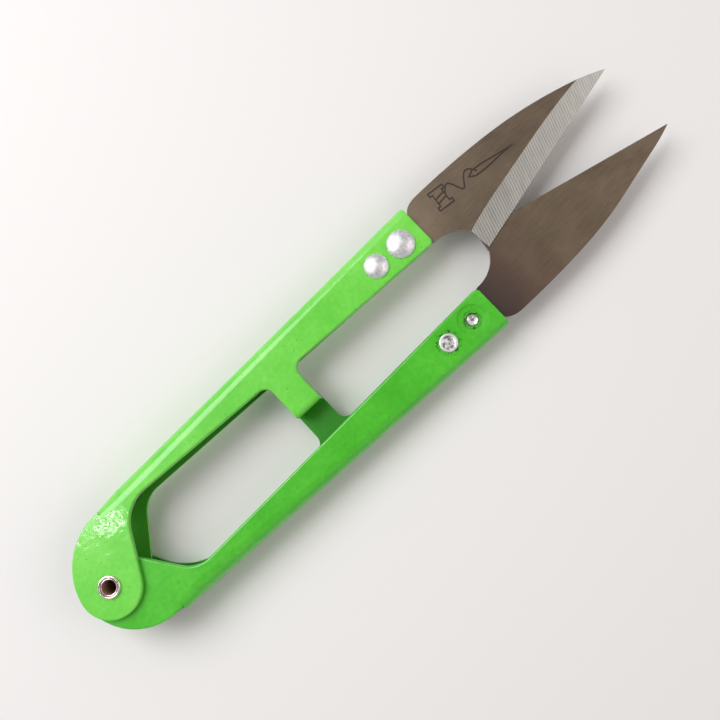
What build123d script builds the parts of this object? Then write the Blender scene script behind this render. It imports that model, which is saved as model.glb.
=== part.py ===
from build123d import *

import os
from collections import namedtuple
from math import acos, atan2, cos, degrees, hypot, radians, sin, tan

# Thread snips: two folded sheet-steel handles that hinge on a hollow eyelet at the rear, each with
# a ground blade riveted into its front end, held open by a torsion spring coiled round the eyelet.
# Millimetres. The pivot axis is Z, X runs to the blade tips, and the blades slide over each other
# at Z = 0. The upper half lies at +Y. The lower half is the same half turned over about X.

# Sheet and the stack of four ears on the pivot
SHEET = 1.0
EAR_GAP = 0.1
STACK_TOP = 4.0
UPPER_EAR_BOTTOM = -(STACK_TOP - SHEET - EAR_GAP)

# Folded channel of one handle, outside faces
REAR_TOP = STACK_TOP
REAR_BOTTOM = UPPER_EAR_BOTTOM
BLADE_UNDERSIDE = 0.05
BLADE_THICKNESS = 1.1
FRONT_TOP = BLADE_UNDERSIDE + BLADE_THICKNESS + SHEET
FRONT_BOTTOM = BLADE_UNDERSIDE - SHEET
WEB_START_X = 6.2
TAPER_START_X = 10.0
TAPER_END_X = 61.5
FRONT_X = 74.4
BACK_REAR_Y = 10.65
BACK_FRONT_Y = 12.75
END_BEND_R = 1.5
REAR_BEND_R = 2.3
SPLIT_Z = 0.6
EDGE_ROUNDING = 0.3
FLANGE_INNER_Y = -1.0
FAR_Y = 20.0
ON_FACE = 0.01

# Plan outline of the flanges
EAR_R = 5.2
JOIN_RISE = 0.05
WIDE_WAIST_DEG = 61.8
WIDE_EDGE_REAR_Y = 8.17
WIDE_EDGE_SLOPE = -0.045
WIDE_EDGE_FRONT_SLOPE = -0.0336
WIDE_EDGE_FRONT_END_Y = 4.88
NARROW_WAIST_DEG = 54.0
NARROW_WAIST_R = 5.0
NARROW_EDGE_REAR_Y = 7.75
NARROW_EDGE_SLOPE = -0.0365
FRONT_CORNER_R = 0.8

# Tab of the wide flange, and the hook bent down from its end
TAB_X0 = 39.2
TAB_X1 = 44.3
TAB_ROOT_R = 1.7
LIP_INNER_Y = -0.04
LIP_OUTER_Y = -0.92
LIP_DROP = 3.9

# Pivot eyelet
EYELET_BORE_R = 1.1
EYELET_BARREL_R = 1.45
EYELET_RIM_R = 1.85
EYELET_RIM_SEAT = STACK_TOP + 0.03
EYELET_RIM_TOP = 4.43
EYELET_THROAT_Z = 3.85
EYELET_THROAT_MID = (1.18, 4.15)
EYELET_GROOVE = (1.38, 4.15)
EYELET_ROLL_R = 1.62
EYELET_RIM_EDGE_Z = 4.19
EYELET_UNDER_MID = (1.82, 4.08)
EYELET_UNDER_R = 1.72

# What differs between the two pressings: hole clearance, how far the ear's round goes on past its
# rear, radius of the back, where the folded wall starts, and radius of the wide flange's waist
Pressing = namedtuple("Pressing", "clearance back_turn_deg back_r wall_start_y wide_waist_r")
UPPER_PRESSING = Pressing(0.05, 10.0, 10.95, 10.25, 6.5)
LOWER_PRESSING = Pressing(0.02, 0.0, 10.05, 10.65, 10.0)

# Blades
UPPER_TIP_X = 114.3
LOWER_TIP_X = 115.1
HEEL_X = 80.53
HEEL_Y = -1.57
CUTTING_SLOPE = 0.2425
NOTCH_R = 5.1
NOTCH_X = 75.3
NOTCH_START_X = 74.7
NOTCH_DROP = 0.1
NOTCH_TOP_Y = NOTCH_R - NOTCH_DROP
NOTCH_TURN = radians(42)
NOTCH_END = (80.08, 2.15)
TANG_X0 = 61.8
TANG_Y0 = 5.4
TANG_REAR_Y1 = 10.7
TANG_FRONT = (74.5, 11.1)
CORNER_MID = (75.5, 12.12)
SHOULDER_Y = 12.53
SHOULDER_X = 78.2
TANG_SHOULDER_X = 73.4
SPINE = ((87.5, 12.3), (97.7, 11.25), (107.8, 8.9))
TIP_SLOPE = -0.42
BEVEL_RIDGE = ((79.0, 1.75), (87.3, 4.15), (95.5, 5.95), (103.7, 7.6), (109.0, 8.35), (117.0, 9.0))
BEVEL_OVERCUT = 1.0
EDGE_LAND = 0.12

# Spool, thread and needle pressed into the bevelled side of each blade, about their own middle
STAMP_AT = (86.3, 8.8)
STAMP_TURN = -6.5
STAMP_STROKE = 0.28
STAMP_DEPTH = 0.08
SPOOL_X0 = -7.4
SPOOL_X1 = -4.6
SPOOL_HALF = 1.7
SPOOL_RIM = 0.6
SPOOL_WAIST = 0.5
TURN_SPACING = 0.8
TURN_RISE = 0.4
THREAD_WAVE = ((-3.6, 1.1), (-2.2, -1.0), (-0.8, 0.9))
NEEDLE_X0 = -0.4
NEEDLE_X1 = 7.6
NEEDLE_HALF = 0.55
EYE_X = (0.6, 1.9)

# Rivets
RIVET_SHANK_R = 1.1
RIVET_FIT = 0.02
FRONT_RIVET = (70.3, 8.31)
REAR_RIVET = (65.0, 8.40)
FRONT_HEAD_R = 2.35
FRONT_HEAD_H = 1.05
REAR_HEAD_R = 2.05
REAR_HEAD_H = 0.95
DOME_FULLNESS = 0.56
TAIL_RECESS = 0.22
TAIL_TAPER = 0.2
REAR_TAIL_R = 1.55
REAR_TAIL_H = 0.3
TAIL_DISH_R = 1.05
TAIL_DISH_DEPTH = 0.15
STAKE_RING_R = 2.45
STAKE_RING_DEPTH = 0.14

# Torsion spring
WIRE_R = 0.4
COIL_R = 2.2
COIL_PITCH = 0.9
WHOLE_TURNS = 2
LEG_KNEE = (9.0, 7.2)
LEG_TOUCH_X = 19.1
LEG_FOOT = 3.0
LEG_BEND_R = 3.0
LEG_CLEARANCE = 0.05

SECTION_X = Plane.YZ


def wide_edge_y(x):
    """Inner edge of the wide flange behind its tab."""
    return WIDE_EDGE_REAR_Y + WIDE_EDGE_SLOPE * x


def wide_front_edge_y(x):
    """Inner edge of the wide flange in front of its tab."""
    return WIDE_EDGE_FRONT_END_Y + WIDE_EDGE_FRONT_SLOPE * (x - FRONT_X)


def narrow_edge_y(x):
    """Inner edge of the narrow flange."""
    return NARROW_EDGE_REAR_Y + NARROW_EDGE_SLOPE * x


def back_y(x):
    """Outside face of the folded wall."""
    share = (x - WEB_START_X) / (FRONT_X - WEB_START_X)
    return BACK_REAR_Y + share * (BACK_FRONT_Y - BACK_REAR_Y)


def wall_y(x, pressing):
    """Outside face of the folded wall, drawn in to meet the ear behind the start of the taper."""
    if x >= TAPER_START_X:
        return back_y(x)
    share = (x - WEB_START_X) / (TAPER_START_X - WEB_START_X)
    return pressing.wall_start_y + share * (back_y(TAPER_START_X) - pressing.wall_start_y)


def top_z(x):
    """Outside of the upper flange, level at both ends with a taper between."""
    share = (x - TAPER_START_X) / (TAPER_END_X - TAPER_START_X)
    share = min(1.0, max(0.0, share))
    return REAR_TOP + share * (FRONT_TOP - REAR_TOP)


def bottom_z(x):
    """Outside of the lower flange."""
    share = (x - TAPER_START_X) / (TAPER_END_X - TAPER_START_X)
    share = min(1.0, max(0.0, share))
    return REAR_BOTTOM + share * (FRONT_BOTTOM - REAR_BOTTOM)


def bend_radius(x):
    """Outside radius of the folds: tight at both ends, widest where the taper starts."""
    stations = (WEB_START_X, TAPER_START_X, TAPER_END_X)
    if x <= WEB_START_X or x >= TAPER_END_X:
        return END_BEND_R
    start, end = stations[:2] if x < TAPER_START_X else (TAPER_END_X, TAPER_START_X)
    return END_BEND_R + (x - start) / (end - start) * (REAR_BEND_R - END_BEND_R)


def bent_block(back, top, bottom, radius):
    """Rectangle from inside the flanges' edges to the back, its two back corners rounded."""
    low = (FLANGE_INNER_Y, bottom)
    high = (FLANGE_INNER_Y, top)
    outline = FilletPolyline(low, (back, bottom), (back, top), high, radius=radius)
    return make_face(outline + Line(high, low))


def channel_section(x, pressing):
    """Cross-section of the folded sheet at x."""
    back = wall_y(x, pressing)
    top = top_z(x)
    bottom = bottom_z(x)
    radius = bend_radius(x)
    outside = bent_block(back, top, bottom, radius)
    inside = bent_block(back - SHEET, top - SHEET, bottom + SHEET, radius - SHEET)
    return SECTION_X.offset(x) * (outside - inside)


def channel(pressing):
    """Folded channel from the start of the wall to the front end."""
    stations = (WEB_START_X, TAPER_START_X, TAPER_END_X, FRONT_X)
    sections = [channel_section(x, pressing) for x in stations]
    body = None
    for rear, front in zip(sections, sections[1:]):
        span = loft([rear, front], ruled=True)
        body = span if body is None else body + span
    return body


def back_arc(pressing):
    """Arc of the ear's back, from the end of the ear's round to its own highest point."""
    turn = radians(pressing.back_turn_deg)
    reach = pressing.back_r - EAR_R
    centre = (reach * cos(turn), -reach * sin(turn))
    half = (radians(90) - turn) / 2
    start = (-EAR_R * cos(turn), EAR_R * sin(turn))
    middle = (centre[0] - pressing.back_r * sin(half), centre[1] + pressing.back_r * cos(half))
    end = (centre[0], centre[1] + pressing.back_r)
    return ThreePointArc(start, middle, end)


def flange_plan(waist_deg, waist_r, rear_edge, front_edge, break_x, pressing):
    """Plan of one flange with its ear: ear arc, waist and inner edge, the back left wide.

    The inner edge is one straight line behind break_x and another in front of it.
    """
    angle = radians(waist_deg)
    leave = (EAR_R * sin(angle), -EAR_R * cos(angle))
    slope = rear_edge(1) - rear_edge(0)
    corner_x = (rear_edge(0) - leave[1] + leave[0] * tan(angle)) / (tan(angle) - slope)
    rear_end = (break_x, rear_edge(break_x))
    front_start = (break_x, front_edge(break_x))
    front_corner = (FRONT_X, front_edge(FRONT_X))
    far_corner = (FRONT_X, FAR_Y)
    waist = FilletPolyline(leave, (corner_x, rear_edge(corner_x)), rear_end, radius=waist_r)
    front = FilletPolyline(front_start, front_corner, far_corner, radius=FRONT_CORNER_R)
    outline = waist + front
    if front_start != rear_end:
        outline = outline + Line(rear_end, front_start)
    back = back_arc(pressing)
    ear = ThreePointArc(back @ 0, (0, -EAR_R), leave)
    top = back @ 1
    close = Polyline(top, (WEB_START_X, top.Y + JOIN_RISE), (WEB_START_X, FAR_Y), far_corner)
    return make_face(outline + ear + back + close)


def wide_flange_plan(pressing):
    """Plan of the flange that carries the tab."""
    tab_width = TAB_X1 - TAB_X0
    tab_middle = (TAB_X0 + TAB_X1) / 2
    tab_length = wide_edge_y(tab_middle) + SHEET
    plain = flange_plan(
        WIDE_WAIST_DEG, pressing.wide_waist_r, wide_edge_y, wide_front_edge_y, tab_middle, pressing,
    )
    tab = Pos(tab_middle, tab_length / 2) * Rectangle(tab_width, tab_length)
    joined = plain + tab
    roots = [
        v for v in joined.vertices()
        if min(abs(v.X - TAB_X0), abs(v.X - TAB_X1)) < 0.01 and 1 < v.Y < 8
    ]
    return fillet(roots, TAB_ROOT_R)


def narrow_flange_plan(pressing):
    """Plan of the flange without a tab."""
    middle = FRONT_X / 2
    return flange_plan(
        NARROW_WAIST_DEG, NARROW_WAIST_R, narrow_edge_y, narrow_edge_y, middle, pressing,
    )


def ear_plate(plan, low_z):
    """Flat rear part of a flange, up to where the folded wall starts."""
    rear = Pos(WEB_START_X - FAR_Y, 0) * Rectangle(2 * FAR_Y, 4 * FAR_Y)
    return extrude(Pos(0, 0, low_z) * (plan & rear), SHEET)


def hook_section(x):
    """Cross-section of the lip at x, bent down from the tab where Y is 0."""
    top = top_z(x)
    bend_r = -LIP_OUTER_Y
    shift = bend_r * (1 - cos(radians(45)))
    bend = ThreePointArc((0, top), (LIP_OUTER_Y + shift, top - shift), (LIP_OUTER_Y, top - bend_r))
    rest = Polyline(
        (LIP_OUTER_Y, top - bend_r),
        (LIP_OUTER_Y, top - LIP_DROP),
        (LIP_INNER_Y, top - LIP_DROP),
        (LIP_INNER_Y, top - SHEET),
        (0, top - SHEET),
        (0, top),
    )
    return SECTION_X.offset(x) * make_face(bend + rest)


def tab_hook():
    """Lip bent down from the end of the tab, in line with the sloping flange."""
    return loft([hook_section(TAB_X0), hook_section(TAB_X1)], ruled=True)


def pierce(x, y, radius):
    """Cutter for a round hole through both flanges."""
    return Pos(x, y, 0) * Cylinder(radius, 2 * FAR_Y)


def stake_ring():
    """Shallow ring that the closing tool presses round the front rivet's tail."""
    x, y = FRONT_RIVET
    disc = Cylinder(STAKE_RING_R, 2 * STAKE_RING_DEPTH)
    collar_r = RIVET_SHANK_R + STAKE_RING_DEPTH
    boss = Cone(collar_r + 2 * STAKE_RING_DEPTH, collar_r, 2 * STAKE_RING_DEPTH)
    return Pos(x, y, FRONT_BOTTOM) * (disc - boss)


def samples(edge):
    """Points spread along an edge."""
    return [edge @ share for share in (0, 0.25, 0.5, 0.75, 1)]


def is_sheared(edge, face_z, pressing):
    """Whether an edge is a cut edge of the sheet on the outside face whose height is face_z(x)."""
    points = samples(edge)
    on_face = all(abs(p.Z - face_z(p.X)) < ON_FACE for p in points)
    stations = (WEB_START_X, TAPER_START_X, TAPER_END_X)
    across = any(all(abs(p.X - x) < ON_FACE for p in points) for x in stations)
    on_hook_seam = all(abs(p.Y) < ON_FACE and p.X > TAPER_START_X for p in points)
    on_bend = all(
        p.X > WEB_START_X - ON_FACE and p.Y > wall_y(p.X, pressing) - bend_radius(p.X) - ON_FACE
        for p in points
    )
    return on_face and not (across or on_hook_seam or on_bend)


def is_hook_side(edge):
    """Whether an edge runs down the outside of the hook at one of its two sides."""
    points = samples(edge)
    at_side = any(all(abs(p.X - x) < ON_FACE for p in points) for x in (TAB_X0, TAB_X1))
    outside = all(p.Y < ON_FACE for p in points)
    vertical = all(abs(p.Y - LIP_OUTER_Y) < ON_FACE for p in points)
    curved = edge.geom_type == GeomType.CIRCLE
    return at_side and outside and (vertical or curved)


def is_front_bend(edge):
    """Whether an edge is the outside of the fold at the front end."""
    points = samples(edge)
    at_front = all(abs(p.X - FRONT_X) < ON_FACE for p in points)
    folded = all(p.Y > BACK_FRONT_Y - END_BEND_R - ON_FACE for p in points)
    return at_front and folded and points[2].Y > BACK_FRONT_Y - SHEET


def handle(pressing):
    """Upper handle: folded channel, two ears, tab and hook, with its holes."""
    wide = wide_flange_plan(pressing)
    narrow = narrow_flange_plan(pressing)
    upper_space = extrude(Pos(0, 0, SPLIT_Z) * wide, FAR_Y)
    lower_space = extrude(Pos(0, 0, SPLIT_Z) * narrow, -FAR_Y)
    folded = channel(pressing)
    body = (folded & upper_space) + (folded & lower_space)
    body = body + ear_plate(wide, REAR_TOP - SHEET) + ear_plate(narrow, REAR_BOTTOM)
    body = body + tab_hook()
    rims = [
        edge for edge in body.edges()
        if is_sheared(edge, top_z, pressing) or is_sheared(edge, bottom_z, pressing)
        or is_hook_side(edge) or is_front_bend(edge)
    ]
    body = fillet(rims, EDGE_ROUNDING)
    body = body - pierce(0, 0, EYELET_BARREL_R + pressing.clearance)
    body = body - pierce(*FRONT_RIVET, RIVET_SHANK_R + RIVET_FIT)
    body = body - pierce(*REAR_RIVET, RIVET_SHANK_R + RIVET_FIT)
    return body - stake_ring()


def cutting_y(x):
    """Cutting edge of the upper blade."""
    return HEEL_Y + CUTTING_SLOPE * (x - HEEL_X)


def blade_outline(tip_x):
    """Plan of the upper blade with its tang, notch, heel and curved back."""
    notch_start = (NOTCH_START_X, NOTCH_TOP_Y)
    notch_mid = (NOTCH_X + NOTCH_R * sin(NOTCH_TURN), NOTCH_R * cos(NOTCH_TURN) - NOTCH_DROP)
    shoulder = (SHOULDER_X, SHOULDER_Y)
    tang = Polyline(notch_start, (TANG_SHOULDER_X, TANG_Y0), (TANG_X0, TANG_Y0),
                    (TANG_X0, TANG_REAR_Y1), TANG_FRONT)
    corner = Spline(TANG_FRONT, CORNER_MID, shoulder, tangents=[(0.3, 1), (1, 0)])
    tip = (tip_x, cutting_y(tip_x))
    spine = Spline(shoulder, *SPINE, tip, tangents=[(1, 0), (1, TIP_SLOPE)])
    cutting = Line(tip, (HEEL_X, HEEL_Y))
    heel = Line((HEEL_X, HEEL_Y), NOTCH_END)
    notch = ThreePointArc(NOTCH_END, notch_mid, notch_start)
    return make_face(tang + corner + spine + cutting + heel + notch)


def bevel_cutter():
    """Space ground away above the cutting edge, a wedge that follows the bevel line."""
    sections = []
    for x, ridge_y in BEVEL_RIDGE:
        edge_y = cutting_y(x)
        slope = (BLADE_THICKNESS - EDGE_LAND) / (ridge_y - edge_y)
        rise = BEVEL_OVERCUT * slope
        outer = (edge_y - BEVEL_OVERCUT, BLADE_UNDERSIDE + EDGE_LAND - rise)
        inner = (ridge_y + BEVEL_OVERCUT, BLADE_UNDERSIDE + BLADE_THICKNESS + rise)
        corner = (edge_y - BEVEL_OVERCUT, inner[1])
        wedge = make_face(Polyline(outer, inner, corner, close=True))
        sections.append(SECTION_X.offset(x) * wedge)
    return loft(sections)


def spool_lines():
    """Outline of the stamped spool, and two turns of thread across its waist."""
    rim_y = SPOOL_HALF - SPOOL_RIM
    waist_x0 = SPOOL_X0 + SPOOL_WAIST
    waist_x1 = SPOOL_X1 - SPOOL_WAIST
    corners = [
        (SPOOL_X0, SPOOL_HALF), (SPOOL_X1, SPOOL_HALF), (SPOOL_X1, rim_y), (waist_x1, rim_y),
        (waist_x1, -rim_y), (SPOOL_X1, -rim_y), (SPOOL_X1, -SPOOL_HALF), (SPOOL_X0, -SPOOL_HALF),
        (SPOOL_X0, -rim_y), (waist_x0, -rim_y), (waist_x0, rim_y), (SPOOL_X0, rim_y),
    ]
    turns = [
        Line((waist_x0, y - TURN_RISE / 2), (waist_x1, y + TURN_RISE / 2))
        for y in (-TURN_SPACING / 2, TURN_SPACING / 2)
    ]
    return [Polyline(*corners, close=True), *turns]


def stamp_lines():
    """Every line of the stamp: spool, thread from its waist through the eye, and needle."""
    eye_mid = sum(EYE_X) / 2
    thread = Spline((SPOOL_X1 - SPOOL_WAIST, 0), *THREAD_WAVE, (eye_mid, 0))
    shoulder_x = EYE_X[1] + NEEDLE_HALF
    needle = Polyline(
        (NEEDLE_X0, 0), (EYE_X[0], NEEDLE_HALF), (shoulder_x, NEEDLE_HALF), (NEEDLE_X1, 0),
        (shoulder_x, -NEEDLE_HALF), (EYE_X[0], -NEEDLE_HALF), close=True,
    )
    return [*spool_lines(), thread, needle]


def stamp_cutter():
    """Shallow grooves of the stamp."""
    grooves = Sketch() + [trace(line, STAMP_STROKE) for line in stamp_lines()]
    top = BLADE_UNDERSIDE + BLADE_THICKNESS
    return extrude(Pos(*STAMP_AT, top - STAMP_DEPTH) * Rot(0, 0, STAMP_TURN) * grooves, SHEET)


def blade(tip_x):
    """Upper blade: flat underneath, bevel and stamp on top, pierced for its two rivets."""
    body = extrude(Pos(0, 0, BLADE_UNDERSIDE) * blade_outline(tip_x), BLADE_THICKNESS)
    body = body - bevel_cutter() - stamp_cutter()
    body = body - pierce(*FRONT_RIVET, RIVET_SHANK_R + RIVET_FIT)
    return body - pierce(*REAR_RIVET, RIVET_SHANK_R + RIVET_FIT)


def dome_curve(radius, height):
    """Profile of a flattened dome from its crown out to its rim."""
    crown = (0, FRONT_TOP + height)
    rim = (radius, FRONT_TOP)
    over = (DOME_FULLNESS * radius, crown[1])
    down = (radius, FRONT_TOP + DOME_FULLNESS * height)
    return Bezier(crown, over, down, rim)


def rivet(place, head_r, head_h, tail):
    """Domed rivet: head on the upper flange, shank, and a tail given as points outwards."""
    head = dome_curve(head_r, head_h)
    shank = Polyline((head_r, FRONT_TOP), (RIVET_SHANK_R, FRONT_TOP), *tail, (0, FRONT_TOP + head_h))
    solid = revolve(Plane.XZ * make_face(head + shank), Axis.Z)
    return Pos(*place, 0) * solid


def front_rivet():
    """Large domed rivet whose dished tail sits just below the surface."""
    end_z = FRONT_BOTTOM + TAIL_RECESS
    floor_z = end_z + TAIL_DISH_DEPTH
    end_r = RIVET_SHANK_R - TAIL_TAPER
    tail = (
        (RIVET_SHANK_R, end_z + TAIL_TAPER),
        (end_r, end_z),
        (end_r - TAIL_DISH_DEPTH, end_z),
        (end_r - 2 * TAIL_DISH_DEPTH, floor_z),
        (0, floor_z),
    )
    return rivet(FRONT_RIVET, FRONT_HEAD_R, FRONT_HEAD_H, tail)


def rear_rivet():
    """Small domed rivet with a flat, dished tail spread over the sheet."""
    end_z = FRONT_BOTTOM - REAR_TAIL_H
    floor_z = end_z + TAIL_DISH_DEPTH
    chamfer = REAR_TAIL_H / 2
    tail = (
        (RIVET_SHANK_R, FRONT_BOTTOM),
        (REAR_TAIL_R, FRONT_BOTTOM),
        (REAR_TAIL_R, end_z + chamfer),
        (REAR_TAIL_R - chamfer, end_z),
        (TAIL_DISH_R + TAIL_DISH_DEPTH, end_z),
        (TAIL_DISH_R, floor_z),
        (0, floor_z),
    )
    return rivet(REAR_RIVET, REAR_HEAD_R, REAR_HEAD_H, tail)


def eyelet():
    """Hollow rivet on the pivot axis, both ends rolled over into a double rim."""
    throat_start = (EYELET_BORE_R, EYELET_THROAT_Z)
    rim_edge = (EYELET_RIM_R, EYELET_RIM_EDGE_Z)
    seat = (EYELET_UNDER_R, EYELET_RIM_SEAT)
    bore = Line((EYELET_BORE_R, 0), throat_start)
    throat = ThreePointArc(throat_start, EYELET_THROAT_MID, EYELET_GROOVE)
    roll = ThreePointArc(EYELET_GROOVE, (EYELET_ROLL_R, EYELET_RIM_TOP), rim_edge)
    under = ThreePointArc(rim_edge, EYELET_UNDER_MID, seat)
    barrel = Polyline(seat, (EYELET_BARREL_R, EYELET_RIM_SEAT), (EYELET_BARREL_R, 0),
                      (EYELET_BORE_R, 0))
    half = revolve(Plane.XZ * make_face(bore + throat + roll + under + barrel), Axis.Z)
    return half + Rot(180, 0, 0) * half


def coil_entry_deg():
    """Angle on the coil at which a straight leg to the knee leaves it."""
    reach = hypot(*LEG_KNEE)
    return degrees(atan2(LEG_KNEE[1], LEG_KNEE[0]) + acos(COIL_R / reach))


def leg(entry_deg, z):
    """Spring leg: off the coil, over the knee, and along the inside of the folded wall."""
    entry = (COIL_R * cos(radians(entry_deg)), COIL_R * sin(radians(entry_deg)))
    gap = SHEET + WIRE_R + LEG_CLEARANCE
    foot_x = LEG_TOUCH_X + LEG_FOOT
    route = FilletPolyline(
        entry,
        LEG_KNEE,
        (LEG_TOUCH_X, back_y(LEG_TOUCH_X) - gap),
        (foot_x, back_y(foot_x) - gap),
        radius=LEG_BEND_R,
    )
    path = Pos(0, 0, z) * route
    start = Plane(origin=path @ 0, z_dir=path % 0)
    return sweep(start * Circle(WIRE_R), path=path)


def torsion_spring():
    """Coil round the eyelet with a leg into each handle."""
    entry_deg = coil_entry_deg()
    turn_deg = 360 * (WHOLE_TURNS + 1) - 2 * entry_deg
    height = COIL_PITCH * turn_deg / 360
    helix = Helix(pitch=COIL_PITCH, height=height, radius=COIL_R, lefthand=True)
    path = Pos(0, 0, -height / 2) * Rot(0, 0, -entry_deg) * helix
    start = Plane(origin=path @ 0, z_dir=path % 0)
    coil = sweep(start * Circle(WIRE_R), path=path)
    upper_leg = leg(entry_deg, height / 2)
    half_turn = Rot(180, 0, 0)
    elbow = Pos(path @ 1) * Sphere(WIRE_R)
    return coil + upper_leg + half_turn * upper_leg + elbow + half_turn * elbow


def build():
    """Every piece in place, keyed by its node name."""
    over = Rot(180, 0, 0)
    return {
        "upper_handle": handle(UPPER_PRESSING),
        "lower_handle": over * handle(LOWER_PRESSING),
        "upper_blade": blade(UPPER_TIP_X),
        "lower_blade": over * blade(LOWER_TIP_X),
        "upper_front_rivet": front_rivet(),
        "upper_rear_rivet": rear_rivet(),
        "lower_front_rivet": over * front_rivet(),
        "lower_rear_rivet": over * rear_rivet(),
        "pivot_eyelet": eyelet(),
        "torsion_spring": torsion_spring(),
    }


if __name__ == "__main__":
    os.makedirs("parts", exist_ok=True)
    for node, shape in build().items():
        export_step(shape, f"parts/{node}.step")
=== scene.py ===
"""Thread snips: lime-enamelled handles, ground blades, rivets, eyelet and spring, on a pale floor.

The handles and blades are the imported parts, dressed here. Rivets, eyelet and spring are turned and
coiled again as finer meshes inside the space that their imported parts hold.
"""

import logging
import math
from collections.abc import Iterable, Mapping, Sequence
from dataclasses import dataclass
from enum import Enum

import bmesh
import bpy
from mathutils import Matrix, Vector

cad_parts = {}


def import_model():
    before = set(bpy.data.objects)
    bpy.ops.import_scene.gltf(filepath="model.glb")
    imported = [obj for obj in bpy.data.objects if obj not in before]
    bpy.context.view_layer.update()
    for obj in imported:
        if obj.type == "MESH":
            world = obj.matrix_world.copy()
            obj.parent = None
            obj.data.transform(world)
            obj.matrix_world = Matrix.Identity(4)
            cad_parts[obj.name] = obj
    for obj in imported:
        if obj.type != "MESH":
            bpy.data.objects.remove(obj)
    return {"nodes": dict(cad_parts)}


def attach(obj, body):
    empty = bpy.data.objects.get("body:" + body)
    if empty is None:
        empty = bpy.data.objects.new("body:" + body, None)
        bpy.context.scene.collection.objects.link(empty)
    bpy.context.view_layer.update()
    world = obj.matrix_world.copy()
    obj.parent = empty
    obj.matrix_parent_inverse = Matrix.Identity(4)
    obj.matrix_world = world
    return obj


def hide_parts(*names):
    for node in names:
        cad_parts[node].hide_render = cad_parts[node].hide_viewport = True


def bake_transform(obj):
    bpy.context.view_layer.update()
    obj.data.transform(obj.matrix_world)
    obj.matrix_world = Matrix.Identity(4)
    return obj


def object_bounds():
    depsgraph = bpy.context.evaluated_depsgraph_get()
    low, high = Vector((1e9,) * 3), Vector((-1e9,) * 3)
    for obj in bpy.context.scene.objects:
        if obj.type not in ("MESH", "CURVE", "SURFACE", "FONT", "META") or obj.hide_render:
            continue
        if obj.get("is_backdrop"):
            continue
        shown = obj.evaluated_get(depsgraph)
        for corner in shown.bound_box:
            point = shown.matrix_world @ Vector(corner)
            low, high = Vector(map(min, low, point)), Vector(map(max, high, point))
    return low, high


MM = 0.001
LOG = logging.getLogger("snips")
FRONT_RIVET_MM = (70.3, 8.31)
REAR_RIVET_MM = (65.0, 8.40)
SHARP_EDGE_DEG = 35.0
# Distance between the bands of a wave texture whose scale is one.
WAVE_PERIOD = 2 * math.pi / 20

Point = tuple[float, float]
Span = tuple[float, float]
Triple = tuple[float, float, float]
Profile = list[Point]
Colour = tuple[float, float, float, float]


class Half(Enum):
    """The two halves. The value turns a height or a Y of the upper half over to this half."""

    UPPER = 1
    LOWER = -1

    @property
    def body(self) -> str:
        """Name of the moving body that this half belongs to."""
        return f"{self.name.lower()}_half"

    def node(self, part: str) -> str:
        """Name of this half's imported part."""
        return f"{self.name.lower()}_{part}"


def linear(code: str) -> Colour:
    """Turn an sRGB hex code into the linear colour that shaders use.

    Args:
        code: Six hex digits after a hash.

    Returns:
        Linear red, green and blue, and an alpha of one.
    """
    channels = []
    for start in (1, 3, 5):
        value = int(code[start:start + 2], 16) / 255
        channels.append(value / 12.92 if value <= 0.04045 else ((value + 0.055) / 1.055) ** 2.4)
    return (channels[0], channels[1], channels[2], 1.0)


def grey(level: float) -> Colour:
    """A neutral linear colour, for masks."""
    return (level, level, level, 1.0)


BLACK = grey(0.0)
WHITE = grey(1.0)


def per_metre(size_mm: float) -> float:
    """Texture scale whose cells are about this many millimetres across."""
    return 1.0 / (size_mm * MM)


def in_use(sockets: Sequence[bpy.types.NodeSocket], key: str | int) -> bpy.types.NodeSocket:
    """Find a socket among those that the node's settings leave in use.

    Args:
        sockets: A node's inputs or outputs.
        key: The socket's name, or its number among those in use.

    Returns:
        The socket.
    """
    live = [socket for socket in sockets if socket.enabled]
    return live[key] if isinstance(key, int) else next(s for s in live if s.name == key)


def add_node(
    tree: bpy.types.NodeTree, kind: str, inputs: Mapping[str | int, object] | None = None,
    stops: Iterable[tuple[float, Colour]] = (), **settings: object,
) -> bpy.types.Node:
    """Add one shader node with its settings, fixed values, links and colour stops.

    Args:
        tree: Node tree that the node joins.
        kind: Blender's type name for the node, after its "ShaderNode".
        inputs: What feeds each input: a fixed value, a socket, or a node for its first output.
        stops: Positions and colours, where the node is a colour ramp.
        settings: Attributes of the node.

    Returns:
        The new node.
    """
    node = tree.nodes.new(f"ShaderNode{kind}")
    for name, value in settings.items():
        setattr(node, name, value)
    for key, value in (inputs or {}).items():
        source = in_use(value.outputs, 0) if isinstance(value, bpy.types.Node) else value
        if isinstance(source, bpy.types.NodeSocket):
            tree.links.new(source, in_use(node.inputs, key))
        else:
            in_use(node.inputs, key).default_value = source
    for index, (position, colour) in enumerate(stops):
        if index >= len(node.color_ramp.elements):
            node.color_ramp.elements.new(position)
        node.color_ramp.elements[index].position = position
        node.color_ramp.elements[index].color = colour
    return node


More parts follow.
